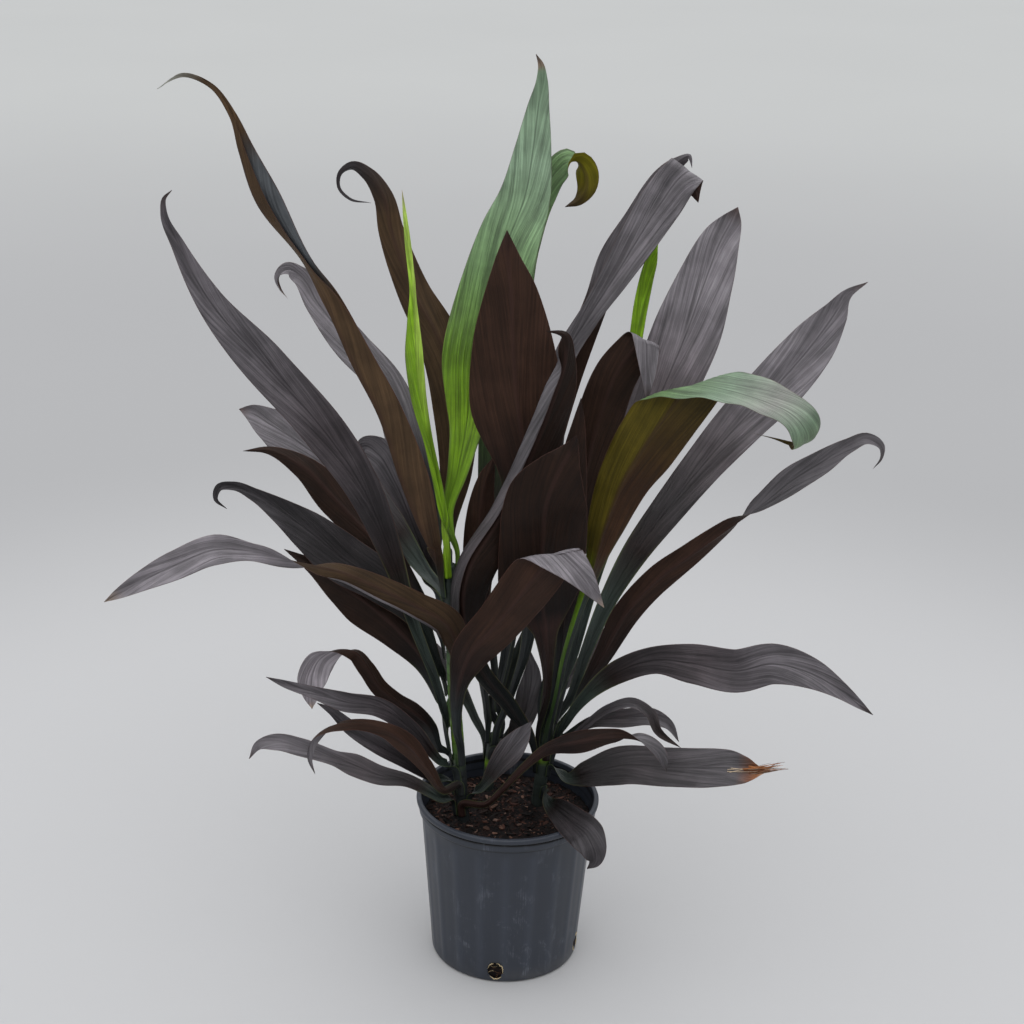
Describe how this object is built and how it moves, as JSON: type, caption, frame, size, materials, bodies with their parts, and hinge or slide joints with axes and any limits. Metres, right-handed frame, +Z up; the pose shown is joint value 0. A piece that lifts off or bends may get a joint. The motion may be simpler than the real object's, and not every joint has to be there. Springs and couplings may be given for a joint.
{
  "type": "potted ti plant",
  "caption": "Leafy foliage plant with long strap leaves on upright canes, rooted in bark soil in a round plastic nursery pot.",
  "frame": {"origin": "centre of the pot's foot, on the surface that it stands on", "axes": "+Z up along the pot's axis, +X to the right and -Y towards the viewer of the fullest side"},
  "size_m": [0.9693, 0.5748, 1.2424],
  "materials": {
    "pot": "moulded matte plastic",
    "soil": "loose potting bark",
    "cane_left": "green cane, satin",
    "cane_right": "green cane, satin",
    "cane_back": "green cane, satin",
    "leaf_tall_twisted": "satin leaf",
    "leaf_left_upright": "satin leaf",
    "leaf_left_curled_tip": "satin leaf",
    "leaf_hooked": "satin leaf",
    "leaf_young_yellow": "satin leaf",
    "leaf_tall_green": "satin leaf",
    "leaf_green_curled_tip": "satin leaf",
    "leaf_bright_green": "satin leaf",
    "leaf_centre_broad": "satin leaf",
    "leaf_centre_folded": "satin leaf",
    "leaf_centre_lower": "satin leaf",
    "leaf_centre_strip": "satin leaf",
    "leaf_back_arched": "satin leaf",
    "leaf_right_folded_tip": "satin leaf",
    "leaf_right_hidden": "satin leaf",
    "leaf_right_broad": "satin leaf",
    "leaf_right_outer": "satin leaf",
    "leaf_olive_folded": "satin leaf",
    "leaf_right_long": "satin leaf",
    "leaf_right_waved": "satin leaf",
    "leaf_burnt_tip": "satin leaf",
    "leaf_short_curled": "satin leaf",
    "leaf_thin_arching": "satin leaf",
    "leaf_small_right": "satin leaf",
    "leaf_over_rim": "satin leaf",
    "leaf_left_level": "satin leaf",
    "leaf_left_hook": "satin leaf",
    "leaf_left_back_upper": "satin leaf",
    "leaf_left_back_lower": "satin leaf",
    "leaf_left_shadow": "satin leaf",
    "leaf_left_inner": "satin leaf",
    "leaf_behind_centre": "satin leaf",
    "leaf_front_centre": "satin leaf",
    "leaf_short_folded": "satin leaf",
    "leaf_back_short": "satin leaf",
    "leaf_left_curled": "satin leaf",
    "leaf_low_left_upper": "satin leaf",
    "leaf_low_left_middle": "satin leaf",
    "leaf_low_left_hook": "satin leaf",
    "leaf_low_left_lowest": "satin leaf",
    "leaf_rear_upper_left": "satin leaf",
    "leaf_rear_upper_centre": "satin leaf",
    "leaf_rear_upper_right": "satin leaf",
    "leaf_rear_lower_left": "satin leaf",
    "leaf_rear_lower_centre": "satin leaf",
    "leaf_rear_lower_right": "satin leaf"
  },
  "bodies": {
    "root": {"pot": "pot", "soil": "soil", "cane_left": "cane_left", "cane_right": "cane_right", "cane_back": "cane_back", "leaf_tall_twisted": "leaf_tall_twisted", "leaf_left_upright": "leaf_left_upright", "leaf_left_curled_tip": "leaf_left_curled_tip", "leaf_hooked": "leaf_hooked", "leaf_young_yellow": "leaf_young_yellow", "leaf_tall_green": "leaf_tall_green", "leaf_green_curled_tip": "leaf_green_curled_tip", "leaf_bright_green": "leaf_bright_green", "leaf_centre_broad": "leaf_centre_broad", "leaf_centre_folded": "leaf_centre_folded", "leaf_centre_lower": "leaf_centre_lower", "leaf_centre_strip": "leaf_centre_strip", "leaf_back_arched": "leaf_back_arched", "leaf_right_folded_tip": "leaf_right_folded_tip", "leaf_right_hidden": "leaf_right_hidden", "leaf_right_broad": "leaf_right_broad", "leaf_right_outer": "leaf_right_outer", "leaf_olive_folded": "leaf_olive_folded", "leaf_right_long": "leaf_right_long", "leaf_right_waved": "leaf_right_waved", "leaf_burnt_tip": "leaf_burnt_tip", "leaf_short_curled": "leaf_short_curled", "leaf_thin_arching": "leaf_thin_arching", "leaf_small_right": "leaf_small_right", "leaf_over_rim": "leaf_over_rim", "leaf_left_level": "leaf_left_level", "leaf_left_hook": "leaf_left_hook", "leaf_left_back_upper": "leaf_left_back_upper", "leaf_left_back_lower": "leaf_left_back_lower", "leaf_left_shadow": "leaf_left_shadow", "leaf_left_inner": "leaf_left_inner", "leaf_behind_centre": "leaf_behind_centre", "leaf_front_centre": "leaf_front_centre", "leaf_short_folded": "leaf_short_folded", "leaf_back_short": "leaf_back_short", "leaf_left_curled": "leaf_left_curled", "leaf_low_left_upper": "leaf_low_left_upper", "leaf_low_left_middle": "leaf_low_left_middle", "leaf_low_left_hook": "leaf_low_left_hook", "leaf_low_left_lowest": "leaf_low_left_lowest", "leaf_rear_upper_left": "leaf_rear_upper_left", "leaf_rear_upper_centre": "leaf_rear_upper_centre", "leaf_rear_upper_right": "leaf_rear_upper_right", "leaf_rear_lower_left": "leaf_rear_lower_left", "leaf_rear_lower_centre": "leaf_rear_lower_centre", "leaf_rear_lower_right": "leaf_rear_lower_right"}
  },
  "joints": []
}
